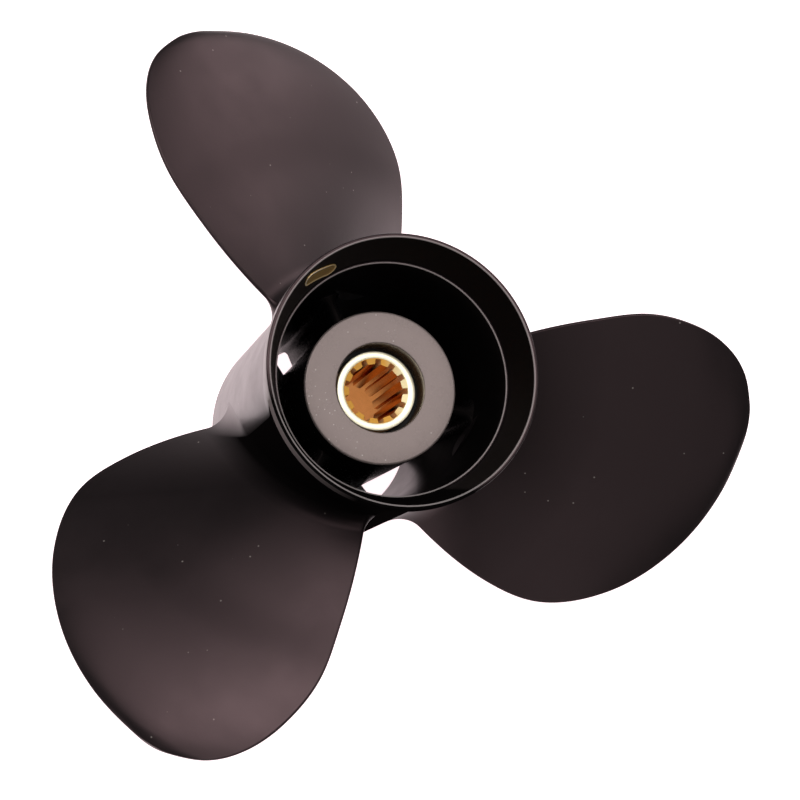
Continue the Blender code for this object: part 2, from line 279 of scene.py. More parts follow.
# Share of the glow that is left on the shaft line, and under the bore's wall.
BORE_GLOWS = (0.6, 0.08)
BORE_GLOW_EDGE = (8 * MM, 10.5 * MM)

WHITE_LIGHT = (1.0, 1.0, 1.0)
WARM_LIGHT = (1.0, 0.92, 0.93)
# Name, azimuth and elevation in degrees, size in metres, watts and colour.
LIGHTS = (
    ("hub_softbox", 255, 71, (0.7, 0.7), 4.4, WHITE_LIGHT),
    ("front_softbox", 68, 62, (0.6, 0.6), 2.6, WHITE_LIGHT),
    ("upper_softbox", 350, 65, (0.7, 0.7), 5.6, WHITE_LIGHT),
    ("left_softbox", 0, 47, (0.9, 0.9), 3.6, WHITE_LIGHT),
    ("low_softbox", 257, 15, (1.3, 0.74), 3.5, WARM_LIGHT),
    ("lower_softbox", 260, 20, (0.6, 0.6), 2.2, WARM_LIGHT),
    ("back_softbox", 150, 50, (0.9, 0.9), 0.9, WHITE_LIGHT),
    ("blade_softbox", 110, 25, (0.9, 0.9), 1.3, WHITE_LIGHT),
)
LIGHT_DISTANCE = 1.4
# Height that the lights face, as a share of the barrel's length.
LIGHT_AIM = 0.6
STUDIO_STRENGTH = 0.03

# The photograph's camera: 0.61 m from the mouth, leaning 18.7 degrees off the shaft.
CAMERA_DISTANCE = 0.6074
CAMERA_HEADING = math.radians(67.896)
CAMERA_LEAN = math.radians(18.704)
CAMERA_ROLL = math.radians(145.604)
CAMERA_AIM = (-1.732 * MM, -10.017 * MM)
CAMERA_LENS = 83.112
CAMERA_SENSOR = 36


def link(name, data):
    """Puts a mesh, light or camera into the scene as an object."""
    thing = bpy.data.objects.new(name, data)
    bpy.context.scene.collection.objects.link(thing)
    return thing


def finish_piece(name, shape, material, nodes, sharp_degrees=40):
    """Turns a bmesh into a piece that rides on the part and stands for CAD nodes."""
    bmesh.ops.recalc_face_normals(shape, faces=shape.faces)
    mesh = bpy.data.meshes.new(name)
    shape.to_mesh(mesh)
    shape.free()
    mesh.shade_smooth()
    mesh.set_sharp_from_angle(angle=math.radians(sharp_degrees))
    mesh.materials.append(material)
    piece = link(name, mesh)
    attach(piece, BODY)
    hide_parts(*nodes)


def on_circle(radius, angle, z):
    return (radius * math.cos(angle), radius * math.sin(angle), z)


def smooth_step(share):
    return share * share * (3 - 2 * share)


def bridge_rings(shape, rings, closed=False):
    """Joins each ring to the next with quads, and the last to the first if closed."""
    pairs = list(zip(rings, rings[1:]))
    if closed:
        pairs.append((rings[-1], rings[0]))
    for low, high in pairs:
        count = len(low)
        for i in range(count):
            j = (i + 1) % count
            shape.faces.new((low[i], low[j], high[j], high[i]))


def rounded_outline(corners, steps=6):
    """Replaces each corner (r, z, radius) of a closed outline with an arc."""
    outline = []
    count = len(corners)
    for i, (r, z, radius) in enumerate(corners):
        here = Vector((r, z))
        if radius <= 0:
            outline.append((r, z))
            continue
        back = (Vector(corners[i - 1][:2]) - here).normalized()
        ahead = (Vector(corners[(i + 1) % count][:2]) - here).normalized()
        half = 0.5 * back.angle(ahead)
        centre = here + (back + ahead).normalized() * (radius / math.sin(half))
        first = here + back * (radius / math.tan(half)) - centre
        turn = first.angle_signed(here + ahead * (radius / math.tan(half)) - centre)
        for k in range(steps + 1):
            spoke = first.copy()
            spoke.rotate(Matrix.Rotation(-turn * k / steps, 2))
            spot = centre + spoke
            outline.append((spot.x, spot.y))
    return outline


def turned_shape(outline, segments):
    """Turns a closed outline of radii and heights around the shaft line."""
    shape = bmesh.new()
    rings = []
    for radius, z in outline:
        ring = []
        for i in range(segments):
            ring.append(shape.verts.new(on_circle(radius, math.tau * i / segments, z)))
        rings.append(ring)
    bridge_rings(shape, rings, closed=True)
    return shape


def passage_radius(z):
    """Radius of the barrel's inner wall, which narrows towards the front."""
    share = z / (BARREL_LENGTH - LEDGE_DEPTH)
    return PASSAGE_FRONT_RADIUS + share * (PASSAGE_RADIUS - PASSAGE_FRONT_RADIUS)


def mouth_wall_radius(z):
    """Radius of the mouth's wall, which widens from the ledge to the rim."""
    foot = PASSAGE_RADIUS + LEDGE_WIDTH
    share = (z - (BARREL_LENGTH - LEDGE_DEPTH)) / LEDGE_DEPTH
    return foot + share * (MOUTH_RADIUS - foot)


def hub_radius(z):
    """Radius of the inner hub's outer wall."""
    share = (z - HUB_LOW.z) / (HUB_HIGH.z - HUB_LOW.z)
    return HUB_FRONT_RADIUS + share * (HUB_RADIUS - HUB_FRONT_RADIUS)


def flare_points(aft_z, steps=24):
    """Sharp corners along the flare of the barrel's outer wall, up to its groove."""
    points = []
    for i in range(steps + 1):
        share = i / steps
        radius = BARREL_RADIUS + smooth_step(share) * (FLARE_RADIUS - BARREL_RADIUS)
        points.append((radius, aft_z - FLARE_HEIGHT * (1 - share), 0))
    return points


def make_barrel(material):
    """The barrel: flared outer wall, groove, collar, mouth, ledge and tapered passage."""
    top = BARREL_LENGTH
    collar_z = top - COLLAR_HEIGHT
    ledge_z = top - LEDGE_DEPTH
    groove_z = collar_z - GROOVE_WIDTH
    # Radius, height and rounding of each corner, also in the tables below.
    corners = [
        (BARREL_RADIUS, 0, 0.8 * MM),
        *flare_points(groove_z),
        (FLARE_RADIUS - GROOVE_DEPTH, groove_z + GROOVE_SLANT, 0.1 * MM),
        (FLARE_RADIUS - GROOVE_DEPTH, collar_z - GROOVE_SLANT, 0.1 * MM),
        (COLLAR_RADIUS, collar_z, 0.35 * MM),
        (COLLAR_RADIUS, top, 0.6 * MM),
        (MOUTH_RADIUS, top, 0.25 * MM),
        (PASSAGE_RADIUS + LEDGE_WIDTH, ledge_z, 0.15 * MM),
        (PASSAGE_RADIUS, ledge_z, 0.3 * MM),
        (PASSAGE_FRONT_RADIUS, 0, 0.8 * MM),
    ]
    shape = turned_shape(rounded_outline(corners), BARREL_SEGMENTS)
    finish_piece("barrel_casting", shape, material, ["barrel"])


def make_hub(material):
    """The inner hub, with the nut's recess at its aft end and a pocket for the bush."""
    recess_z = HUB_HIGH.z - HUB_BORE_DEPTH
    corners = [
        (HUB_FRONT_RADIUS, HUB_LOW.z, 0.8 * MM),
        (HUB_RADIUS, HUB_HIGH.z, 0.7 * MM),
        (HUB_BORE_RADIUS, HUB_HIGH.z, 0.4 * MM),
        (HUB_BORE_RADIUS, recess_z, 0.3 * MM),
        (BUSH_POCKET_RADIUS, recess_z, 0.3 * MM),
        (BUSH_POCKET_RADIUS, HUB_LOW.z, 0.6 * MM),
    ]
    shape = turned_shape(rounded_outline(corners), HUB_SEGMENTS)
    finish_piece("hub_casting", shape, material, ["inner_hub"])


def corner_angle(first, second, opposite):
    """The angle between two sides of a triangle, from its three lengths."""
    share = (first ** 2 + second ** 2 - opposite ** 2) / (2 * first * second)
    return math.acos(max(-1.0, min(1.0, share)))


def web_half_outline(inner, outer, loss, steps=8):
    """One side of a web from hub to barrel, with a fillet at each end, set in by loss."""
    rise = 0.5 * WEB_THICKNESS + WEB_FILLET
    bend_radius = WEB_FILLET + loss
    hub_reach = inner + WEB_FILLET
    wall_reach = outer - WEB_FILLET
    hub_x = math.sqrt(hub_reach ** 2 - rise ** 2)
    wall_x = math.sqrt(wall_reach ** 2 - rise ** 2)
    hub_bend = math.atan2(hub_x, rise) - corner_angle(hub_reach, bend_radius, inner)
    wall_bend = corner_angle(wall_reach, bend_radius, outer) - math.atan2(wall_x, rise)
    points = []
    for k in range(steps + 1):
        bend = hub_bend * (1 - k / steps)
        points.append((hub_x - bend_radius * math.sin(bend), rise - bend_radius * math.cos(bend)))
    for k in range(steps + 1):
        bend = wall_bend * k / steps
        points.append((wall_x + bend_radius * math.sin(bend), rise - bend_radius * math.cos(bend)))
    first_angle = math.atan2(points[0][1], points[0][0])
    last_angle = math.atan2(points[-1][1], points[-1][0])
    foot = on_circle(inner - WEB_ROOT_DEPTH, first_angle, 0)[:2]
    head = on_circle(outer + WEB_ROOT_DEPTH, last_angle, 0)[:2]
    return [foot, *points, head]


def web_levels(steps=6):
    """Heights along a web, and how much thinner it is there as its edges round off."""
    lower = []
    for k in range(steps + 1):
        bend = 0.5 * math.pi * k / steps
        rise = WEB_EDGE_ROUND * (1 - math.cos(bend))
        lower.append((WEB_LOW.z + rise, WEB_EDGE_ROUND * (1 - math.sin(bend))))
    upper = [(WEB_HIGH.z - (z - WEB_LOW.z), loss) for z, loss in reversed(lower)]
    return lower + upper


def make_web(number, material):
    """A web from the inner hub to the barrel's wall, filleted at both."""
    turn = WEB_ANGLE + BLADE_STEP * (number - 1)
    shape = bmesh.new()
    rings = []
    for z, loss in web_levels():
        side = web_half_outline(hub_radius(z), passage_radius(z), loss)
        loop = side + [(x, -y) for x, y in reversed(side)]
        ring = []
        for x, y in loop:
            ring.append(shape.verts.new(on_circle(math.hypot(x, y), math.atan2(y, x) + turn, z)))
        rings.append(ring)
    bridge_rings(shape, rings)
    for ring in (rings[0], rings[-1]):
        last = len(ring) - 1
        for i in range(len(ring) // 2 - 1):
            shape.faces.new((ring[i], ring[i + 1], ring[last - i - 1], ring[last - i]))
    name = "web_casting_%d" % number
    finish_piece(name, shape, material, ["web_%d" % number])


def tip_distance(radius):
    """A measure of the way to the tip in which the rounded tip becomes a smooth curve."""
    return math.sqrt(max(0.0, TIP_RADIUS - radius) / TIP_RADIUS)


def outline_value(radius, column):
    """Smooth curve through one column of the outline, by distance to the tip."""
    knots = [tip_distance(row[0] * MM) for row in BLADE_OUTLINE]
    values = [row[column] for row in BLADE_OUTLINE]
    place = tip_distance(radius)
    last = len(knots) - 1
    i = 0
    while i < last - 1 and place < knots[i + 1]:
        i += 1
    width = knots[i + 1] - knots[i]

    def slope(k):
        before = max(k - 1, 0)
        after = min(k + 1, last)
        return (values[after] - values[before]) / (knots[after] - knots[before])

    t = (place - knots[i]) / width
    start = values[i] * (2 * t ** 3 - 3 * t ** 2 + 1)
    end = values[i + 1] * (3 * t ** 2 - 2 * t ** 3)
    leaving = slope(i) * width * (t ** 3 - 2 * t ** 2 + t)
    arriving = slope(i + 1) * width * (t ** 3 - t ** 2)
    return start + end + leaving + arriving


def fillet_offset(height):
    """How far the root's fillet stands out at a height above the barrel."""
    if height >= ROOT_FILLET:
        return 0.0
    height = max(height, 0.0)
    return ROOT_FILLET - math.sqrt(ROOT_FILLET ** 2 - (ROOT_FILLET - height) ** 2)


def blade_corner(radius, column):
    """One edge of the blade at one radius: its way around the shaft, and its height."""
    angle = math.radians(outline_value(radius, column))
    return Vector((radius * angle, outline_value(radius, column + 1) * MM))


def edge_rounding(radius, chord):
    """Radius of the section's rounded edges, which shrinks at the tip."""
    edge = 0.5 * BLADE_EDGE_THICKNESS
    inward = TIP_RADIUS - radius
    if inward < edge:
        edge = math.sqrt(max(0.0, edge ** 2 - (edge - inward) ** 2)) + FINEST_EDGE
    return min(edge, WIDEST_EDGE * chord)


def section_swell(radius, chord):
    """How much thicker the section is in its middle than at its edges."""
    span = (radius - BARREL_RADIUS) / (TIP_RADIUS - BARREL_RADIUS)
    full = BLADE_ROOT_THICKNESS + span * (BLADE_TIP_THICKNESS - BLADE_ROOT_THICKNESS)
    narrowing = max(0.0, 1 - chord / BLADE_FULL_CHORD)
    return max(0.0, full - BLADE_EDGE_THICKNESS) * (1 - narrowing ** 2)


def section_loop(radius):
    """The blade's section at one radius, as a closed loop unrolled around the shaft."""
    trailing = blade_corner(radius, TRAILING_COLUMN)
    leading = blade_corner(radius, LEADING_COLUMN)
    chord = max((leading - trailing).length, SHORTEST_CHORD)
    along = (leading - trailing) / chord if chord > SHORTEST_CHORD else TIP_SLANT
    across = Vector((along.y, -along.x))
    edge = edge_rounding(radius, chord)
    swell = section_swell(radius, chord)
    hollow = BLADE_HOLLOW * (chord / BLADE_WIDE_CHORD) ** 2
    face = []
    back = []
    for i in range(BLADE_CHORDS + 1):
        share = 0.5 - 0.5 * math.cos(math.pi * i / BLADE_CHORDS)
        reach = edge + share * (chord - 2 * edge)
        bulge = 4 * share * (1 - share)
        face.append(Vector((reach, -hollow * bulge)))
        back.append(Vector((reach, -hollow * bulge - 2 * edge - swell * bulge)))
    leading_edge = []
    trailing_edge = []
    for k in range(1, EDGE_STEPS):
        bend = math.pi * k / EDGE_STEPS
        out = edge * math.sin(bend)
        drop = edge * math.cos(bend)
        leading_edge.append(Vector((chord - edge + out, -edge + drop)))
        trailing_edge.append(Vector((edge - out, -edge - drop)))
    points = [*face, *leading_edge, *reversed(back), *trailing_edge]
    widen = fillet_offset(radius - BARREL_RADIUS)
    if widen > 0:
        points = offset_loop(points, widen)
    return [trailing + along * p.x - across * p.y for p in points]


def offset_loop(points, widen):
    """Moves each point of a closed loop outwards."""
    count = len(points)
    moved = []
    for i in range(count):
        tangent = points[(i + 1) % count] - points[i - 1]
        moved.append(points[i] + Vector((-tangent.y, tangent.x)).normalized() * widen)
    return moved


def blade_radii():
    """The sections' radii, close together in the root's fillet and towards the tip."""
    radii = [BARREL_RADIUS - ROOT_SINK]
    for i in range(FILLET_SPANS):
        bend = 0.5 * math.pi * i / FILLET_SPANS
        radii.append(BARREL_RADIUS + ROOT_FILLET * (1 - math.cos(bend)))
    first = BARREL_RADIUS + ROOT_FILLET
    for i in range(BLADE_SPANS + 1):
        left = (1 - i / BLADE_SPANS) ** 2
        radii.append(TIP_RADIUS - (TIP_RADIUS - first) * left)
    return radii


def make_blade(number, material):
    """A blade, lofted through its sections from inside the barrel's wall to the tip."""
    turn = BLADE_STEP * (number - 1)
    shape = bmesh.new()
    rings = []
    for radius in blade_radii():
        loop = section_loop(radius)
        rings.append([shape.verts.new(on_circle(radius, p.x / radius + turn, p.y)) for p in loop])
    bridge_rings(shape, rings)
    shape.faces.new(rings[0])
    shape.faces.new(rings[-1])
    bmesh.ops.remove_doubles(shape, verts=rings[-1], dist=MERGE_DISTANCE)
    name = "blade_casting_%d" % number
    nodes = ["blade_%d" % number]
    finish_piece(name, shape, material, nodes, sharp_degrees=60)


def spline_radius(share, depth):
    """Bore radius across one tooth and its space; depth is how far the tooth stands out."""
    tip = SPLINE_ROOT_RADIUS + depth * (SPLINE_TIP_RADIUS - SPLINE_ROOT_RADIUS)
    away = abs(share - 0.5)
    rise = smooth_step(min(1.0, max(0.0, (away - SPACE_HALF) / SPLINE_FLANK)))
    crown = SPLINE_CROWN * depth * (2 * max(0.0, 0.5 - away) / (1 - 2 * SPACE_HALF)) ** 2
    return SPLINE_ROOT_RADIUS + rise * (tip - SPLINE_ROOT_RADIUS) + rise * crown


def make_sleeve(material):
    """The brass sleeve: a turned outside, and a bore with teeth that start in chamfers."""
    count = SPLINE_COUNT * SPLINE_POINTS
    shape = bmesh.new()

    def ring(z, radius_at):
        points = []
        for i in range(count):
            share = (i % SPLINE_POINTS) / SPLINE_POINTS
            angle = SPLINE_PHASE + math.tau * i / count
            points.append(shape.verts.new(on_circle(radius_at(share), angle, z)))
        return points

    def plain(radius):
        return lambda _: radius

    def toothed(depth):
        return lambda share: spline_radius(share, depth)

    low = SLEEVE_LOW.z
    top = SLEEVE_HIGH.z
    ease = SLEEVE_EASE
    tooth_height = SPLINE_ROOT_RADIUS - SPLINE_TIP_RADIUS
    chamfer_height = tooth_height * CHAMFER_SLOPE
    aft_z = top - (SLEEVE_BORE_RADIUS - SPLINE_ROOT_RADIUS) * CHAMFER_SLOPE
    depths = [k / (SPLINE_START_RINGS - 1) for k in range(SPLINE_START_RINGS)]
    levels = [
        (low, plain(SLEEVE_RADIUS - ease)),
        (low + ease, plain(SLEEVE_RADIUS)),
        (top - ease, plain(SLEEVE_RADIUS)),
        (top - 0.3 * ease, plain(SLEEVE_RADIUS - 0.3 * ease)),
        (top, plain(SLEEVE_RADIUS - ease)),
        (top, plain(SLEEVE_BORE_RADIUS)),
        *[(aft_z - depth * chamfer_height, toothed(depth)) for depth in depths],
        *[(SPLINE_FRONT_Z + depth * tooth_height, toothed(depth)) for depth in reversed(depths)],
        (SPLINE_FRONT_Z, plain(SLEEVE_BORE_RADIUS)),
        (low + ease, plain(SLEEVE_BORE_RADIUS)),
        (low, plain(SLEEVE_BORE_RADIUS + ease)),
    ]
    rings = [ring(z, radius_at) for z, radius_at in levels]
    bridge_rings(shape, rings, closed=True)
    nodes = ["splined_sleeve"]
    finish_piece("brass_sleeve", shape, material, nodes, sharp_degrees=30)


def make_bush(material):
    """The rubber bush, which fills the ring between the sleeve and the hub's pocket."""
    inner = SLEEVE_RADIUS
    outer = BUSH_POCKET_RADIUS
    corners = [
        (inner, BUSH_LOW.z, 1.5 * MM),
        (outer, BUSH_LOW.z, 1.5 * MM),
        (outer, BUSH_HIGH.z, 1.0 * MM),
        (inner, BUSH_HIGH.z, 1.0 * MM),
    ]
    shape = turned_shape(rounded_outline(corners), BUSH_SEGMENTS)
    finish_piece("bush_rubber", shape, material, ["rubber_bush"])


def make_tag(material):
    """A blank foil tag with round corners and a raised border, stuck on at a slant."""
    half_length = 0.5 * TAG_LENGTH
    half_width = 0.5 * TAG_WIDTH
    columns = TAG_COLUMNS
    rows = TAG_ROWS
    shape = bmesh.new()
    grid = []
    for i in range(columns + 1):
        along = -half_length * math.cos(math.pi * i / columns)
        over = max(0.0, abs(along) - (half_length - half_width))
        reach = math.sqrt(max(0.0, half_width ** 2 - over ** 2)) + TAG_END_REACH
        column = []
        for k in range(rows + 1):
            rise = -reach * math.cos(math.pi * k / rows)
            rim = half_width - math.hypot(over, rise)
            share = min(1.0, max(0.0, rim / TAG_BORDER - 0.5))
            lift = TAG_THICKNESS * (1 - TAG_FIELD_DROP * share)
            arc = along * math.cos(TAG_TILT) - rise * math.sin(TAG_TILT)
            z = TAG_Z + along * math.sin(TAG_TILT) + rise * math.cos(TAG_TILT)
            wall = mouth_wall_radius(z) - TAG_CLEARANCE
            angle = TAG_ANGLE + arc / wall
            top = shape.verts.new(on_circle(wall - lift, angle, z))
            foot = shape.verts.new(on_circle(wall, angle, z))
            column.append((top, foot))
        grid.append(column)
    for left, right in zip(grid, grid[1:]):
        for k in range(rows):
            shape.faces.new((left[k][0], right[k][0], right[k + 1][0], left[k + 1][0]))
            shape.faces.new((left[k][1], left[k + 1][1], right[k + 1][1], right[k][1]))
        shape.faces.new((left[0][0], left[0][1], right[0][1], right[0][0]))
        shape.faces.new((left[rows][0], right[rows][0], right[rows][1], left[rows][1]))
    for column in (grid[0], grid[-1]):
        for k in range(rows):
            shape.faces.new((column[k][0], column[k + 1][0], column[k + 1][1], column[k][1]))
    finish_piece("foil_tag_plate", shape, material, ["foil_tag"], sharp_degrees=50)


class Painter:
    """Adds nodes to one material, so that each recipe below stays short."""

    def __init__(self, name):
        self.material = bpy.data.materials.new(name)
        self.material.use_nodes = True
        self.tree = self.material.node_tree
        self.shader = self.tree.nodes["Principled BSDF"]
        self.spot = self.tree.nodes.new("ShaderNodeTexCoord").outputs["Object"]

    def join(self, source, target):
        self.tree.links.new(source, target)

    def feed(self, socket, source):
        """Joins a source to one of the shader's own sockets."""
        self.join(source, self.shader.inputs[socket])

    def node(self, kind, **settings):
        made = self.tree.nodes.new(kind)
        for key, value in settings.items():
            setattr(made, key, value)
        return made

    def stretched(self, scale):
        """Each point's place, scaled along each axis."""
        mapping = self.node("ShaderNodeMapping")
        mapping.inputs["Scale"].default_value = scale
        self.join(self.spot, mapping.inputs["Vector"])
        return mapping.outputs["Vector"]

    def shaft_distance(self):
        """Each point's distance from the shaft line, and its height."""
        apart = self.node("ShaderNodeSeparateXYZ")
        self.join(self.spot, apart.inputs["Vector"])
        x_square = self.times(apart.outputs["X"], apart.outputs["X"])
        y_square = self.times(apart.outputs["Y"], apart.outputs["Y"])
        radius = self.maths("SQRT", self.maths("ADD", x_square, y_square), 0.0)
        return radius, apart.outputs["Z"]

    def along(self, angle):
        """Each point's distance from the shaft line in the direction of an angle."""
        product = self.node("ShaderNodeVectorMath", operation="DOT_PRODUCT")
        self.join(self.spot, product.inputs[0])
        product.inputs[1].default_value = on_circle(1.0, angle, 0.0)
        return product.outputs["Value"]

    def beyond(self, angle, edge):
        """0 to 1 over an edge, which is a pair of distances in the direction of an angle."""
        return self.spread(self.along(angle), *edge, 0.0, 1.0)

    def noise(self, scale, detail=3.0, rough=0.5, vector=None):
        made = self.node("ShaderNodeTexNoise")
        made.inputs["Scale"].default_value = scale
        made.inputs["Detail"].default_value = detail
        made.inputs["Roughness"].default_value = rough
        self.join(vector or self.spot, made.inputs["Vector"])
        return made.outputs["Fac"]

    def spread(self, value, low, high, to_low, to_high):
        """Maps the range from low to high onto the range from to_low to to_high."""
        made = self.node("ShaderNodeMapRange")
        made.inputs["From Min"].default_value = low
        made.inputs["From Max"].default_value = high
        made.inputs["To Min"].default_value = to_low
        made.inputs["To Max"].default_value = to_high
        self.join(value, made.inputs["Value"])
        return made.outputs["Result"]

    def fade(self, mask, at_zero, at_one):
        """One value where a mask is 0 and another where it is 1."""
        return self.spread(mask, 0.0, 1.0, at_zero, at_one)

    def maths(self, operation, first, second):
        made = self.node("ShaderNodeMath", operation=operation)
        for socket, value in zip(made.inputs, (first, second)):
            if isinstance(value, (int, float)):
                socket.default_value = value
            else:
                self.join(value, socket)
        return made.outputs["Value"]

    def above(self, value, limit):
        return self.maths("GREATER_THAN", value, limit)

    def below(self, value, limit):
        return self.maths("LESS_THAN", value, limit)

    def times(self, first, second):
        return self.maths("MULTIPLY", first, second)

    def larger(self, first, second):
        return self.maths("MAXIMUM", first, second)

    def inverse(self, mask):
        return self.maths("SUBTRACT", 1.0, mask)

    def mix(self, factor, first, second):
        """The first colour where the factor is 0, and the second where it is 1."""
        made = self.node("ShaderNodeMix", data_type="RGBA")
        self.join(factor, made.inputs[MIX_FACTOR])
        for place, value in zip(MIX_COLOURS, (first, second)):
            socket = made.inputs[place]
            if isinstance(value, tuple):
                socket.default_value = (*value, 1.0)
            else:
                self.join(value, socket)
        return made.outputs[MIX_RESULT]

    def bump(self, height, distance, base=None):
        """A normal bent by a height, on top of another bump's normal where one is given."""
        made = self.node("ShaderNodeBump")
        made.inputs["Distance"].default_value = distance
        made.inputs["Strength"].default_value = 1.0
        self.join(height, made.inputs["Height"])
        if base:
            self.join(base, made.inputs["Normal"])
        return made.outputs["Normal"]

    def specks(self, scale, size, share):
        """1 in small dust specks, of which only a share of the cells holds one."""
        cells = self.node("ShaderNodeTexVoronoi")
        cells.inputs["Scale"].default_value = scale
        self.join(self.spot, cells.inputs["Vector"])
        near = self.spread(cells.outputs["Distance"], size, 0.5 * size, 0.0, 1.0)
        apart = self.node("ShaderNodeSeparateColor")
        self.join(cells.outputs["Color"], apart.inputs["Color"])
        return self.times(near, self.below(apart.outputs["Red"], share))


def barrel_inside(paint):
    """1 on the barrel's passage wall and mouth wall, 0 on its ledge and all outer faces."""
    radius, height = paint.shaft_distance()
    in_mouth = paint.times(
        paint.above(height, BARREL_LENGTH - LEDGE_DEPTH),
        paint.below(radius, MOUTH_RADIUS - MASK_SLACK),
    )
    in_passage = paint.below(radius, PASSAGE_RADIUS + LEDGE_WIDTH)
    inside = paint.larger(in_mouth, in_passage)
    return paint.times(inside, paint.inverse(barrel_edges(paint)))


def barrel_edges(paint):
    """1 on the barrel's aft rim and on the inner half of its ledge, which are lighter grey:
    partly dust, partly a painted highlight.
    """
    radius, height = paint.shaft_distance()
    top = paint.above(height, BARREL_LENGTH - PALE_RIM_DEPTH)
    rim = paint.times(top, paint.below(radius, MOUTH_RADIUS + PALE_RIM_WIDTH))
    above_ledge = paint.maths("SUBTRACT", height, BARREL_LENGTH - LEDGE_DEPTH)
    at_ledge = paint.below(paint.maths("ABSOLUTE", above_ledge, 0.0), PALE_LEDGE_DEPTH)
    inner_half = paint.below(radius, PASSAGE_RADIUS + 0.5 * LEDGE_WIDTH)
    return paint.larger(rim, paint.times(at_ledge, inner_half))


def collar_sheen(paint):
    """1 on the collar's outer wall on one side, where a painted sheen lightens it."""
    radius, _ = paint.shaft_distance()
    on_collar = paint.above(radius, COLLAR_RADIUS - MASK_SLACK)
    return paint.times(on_collar, paint.beyond(COLLAR_SHEEN_ANGLE, COLLAR_SHEEN_EDGE))


def barrel_looks(paint, clean, painted_shade, side_gloss):
    """The barrel's colour and gloss: painted shade on one side and on the passage and mouth
    walls, a painted sheen on one side of the collar, and a rim and ledge edge that are
    lighter grey, partly with dust and partly with a painted highlight.
    """
    inside = barrel_inside(paint)
    # Painted shade: near-black on one side of the shaft line, and on the passage and mouth walls.
    colour = paint.mix(painted_shade, clean, PAINTED_SHADE_COLOUR)
    colour = paint.mix(inside, colour, PAINTED_SHADE_COLOUR)
    # Painted sheen on one side of the collar.
    colour = paint.mix(collar_sheen(paint), colour, COLLAR_SHEEN_COLOUR)
    # Rim and ledge edge: partly dust, partly a painted highlight.
    colour = paint.mix(barrel_edges(paint), colour, EDGE_DUST_AND_HIGHLIGHT_COLOUR)
    inner_gloss = paint.fade(inside, PAINT_GLOSS, PASSAGE_GLOSS)
    return colour, paint.maths("MINIMUM", side_gloss, inner_gloss)


def blade_looks(paint, clean, painted_shade, side_gloss):
    """The blades' colour and gloss: the same painted shade as the barrel's at their roots,
    where they join it, and duller near the barrel, most of all on one side of blade 1.
    """
    radius, _ = paint.shaft_distance()
    at_barrel = paint.spread(radius, *ROOT_BLEND, 1.0, 0.0)
    # Painted shade at the roots, as on the barrel's side.
    colour = paint.mix(paint.times(painted_shade, at_barrel), clean, PAINTED_SHADE_COLOUR)
    on_dull_blade = paint.beyond(DULL_BLADE_ANGLE, DULL_BLADE_EDGE)
    side_loss = paint.spread(paint.along(BLADE_DULL_SIDE_ANGLE), *BLADE_DULL_SIDE_EDGE, BLADE_SIDE_LOSS, 0.0)
    root_loss = paint.spread(radius, *ROOT_DULL_EDGE, BLADE_ROOT_LOSS, 0.0)
    loss = paint.larger(paint.times(side_loss, on_dull_blade), root_loss)
    near_gloss = paint.times(side_gloss, at_barrel)
    far_gloss = paint.times(paint.maths("SUBTRACT", PAINT_GLOSS, loss), paint.inverse(at_barrel))
    return colour, paint.maths("ADD", near_gloss, far_gloss)


def paint_material(name, looks):
    """Satin black paint with a brown cast, faint orange peel, a few dust specks, and painted
    shade on one side of the shaft line. The looks given are those of the barrel or the blades.
    """
    paint = Painter(name)
    tone = paint.mix(paint.noise(*PAINT_CLOUD), *PAINT_TONES)
    clean = paint.mix(paint.specks(*PAINT_SPECKS), tone, PAINT_SPECK_COLOUR)
    # Painted shade on one side of the shaft line, which also takes the gloss away there.
    painted_shade = paint.beyond(PAINTED_SHADE_ANGLE, PAINTED_SHADE_EDGE)
    colour, gloss = looks(paint, clean, painted_shade, paint.fade(painted_shade, PAINT_GLOSS, 0.0))
    paint.feed("Base Color", colour)
    paint.feed("Specular IOR Level", gloss)
    paint.shader.inputs["Specular Tint"].default_value = PAINT_TINT
    paint.feed("Roughness", paint.spread(paint.noise(*PAINT_GRAIN), *NOISE_RANGE, *PAINT_ROUGHNESS))
    peel = paint.bump(paint.noise(*ORANGE_PEEL), PEEL_DEPTH)
    paint.feed("Normal", paint.bump(paint.noise(*PAINT_WAVE), WAVE_DEPTH, peel))
    return paint.material


def hub_material():
    """The hub's paint: a light grey aft end face, partly dust and partly painted sheen;
    painted shade on its sides in the passages; and a brown painted reflection in its bore.
    """
    paint = Painter("hub_paint")
    radius, height = paint.shaft_distance()
    face = paint.above(height, HUB_HIGH.z - FACE_DUST_AND_SHEEN_DEPTH)
    bore = paint.below(radius, HUB_BORE_RADIUS + MASK_SLACK)
    grain = paint.noise(*HUB_GRAIN)
    dust_share = paint.spread(paint.along(DUST_ANGLE), *DUST_EDGE, *HUB_SPECK_SHARES)
    dust = paint.specks(HUB_SPECK_SCALE, HUB_SPECK_SIZE, dust_share)
    # Light grey face, partly dust and partly painted sheen, with dust specks.
    face_dust_and_sheen = paint.mix(dust, paint.mix(grain, *HUB_FACE_DUST_AND_SHEEN_TONES), HUB_SPECK_COLOUR)
    # Painted shade on the sides in the passages, and a brown painted reflection in the bore.
    side_shade_and_bore_reflection = paint.mix(bore, HUB_SIDE_SHADE_COLOUR, HUB_BORE_REFLECTION_COLOUR)
    paint.feed("Base Color", paint.mix(face, side_shade_and_bore_reflection, face_dust_and_sheen))
    paint.feed("Specular IOR Level", paint.fade(paint.larger(face, bore), *HUB_GLOSSES))
    paint.shader.inputs["Specular Tint"].default_value = HUB_TINT
    paint.feed("Roughness", paint.spread(grain, *NOISE_RANGE, *HUB_ROUGHNESS))
    paint.feed("Normal", paint.bump(paint.noise(*ORANGE_PEEL), PEEL_DEPTH))
    return paint.material


